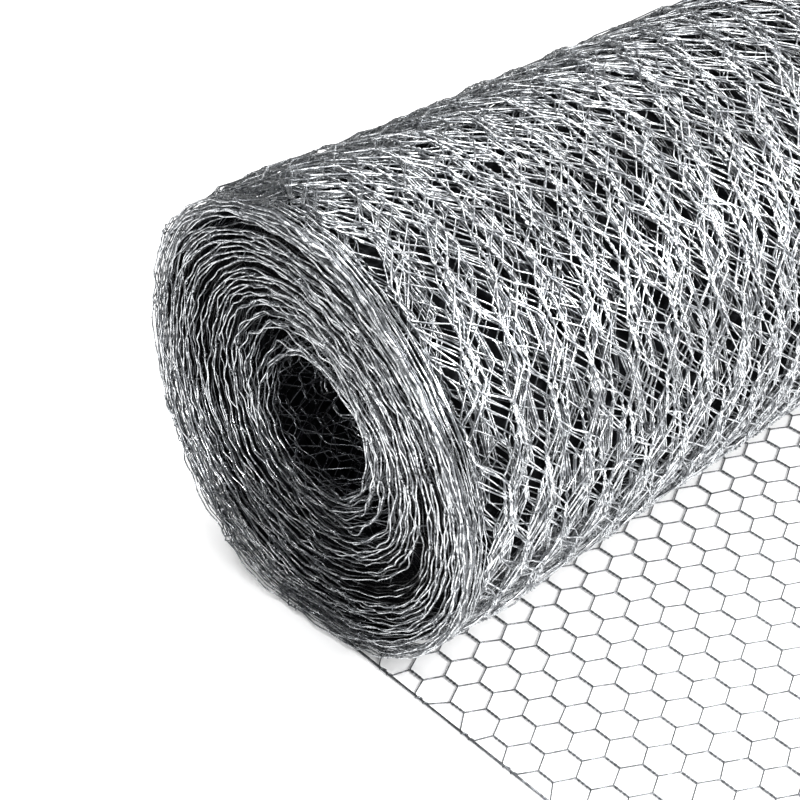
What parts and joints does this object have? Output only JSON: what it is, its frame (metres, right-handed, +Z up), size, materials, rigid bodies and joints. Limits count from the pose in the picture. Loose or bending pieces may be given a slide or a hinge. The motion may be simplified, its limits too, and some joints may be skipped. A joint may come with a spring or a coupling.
{
  "type": "roll of hexagonal wire netting",
  "caption": "Roll of galvanised hexagonal wire netting lying on its side, with an open middle, turns showing on its ends and its free end drawn out flat on the floor.",
  "frame": {"origin": "centre of the footprint on the floor, under the roll and its flat stretch", "axes": "+X along the roll's axis, -Y the way the flat stretch is drawn out, +Z up from the floor"},
  "size_m": [0.9, 0.5009, 0.3099],
  "materials": {
    "galvanised_wire": "satin"
  },
  "bodies": {
    "root": {"roll": "galvanised_wire", "tail_strip_1": "galvanised_wire", "tail_strip_2": "galvanised_wire", "tail_strip_3": "galvanised_wire"}
  },
  "joints": []
}
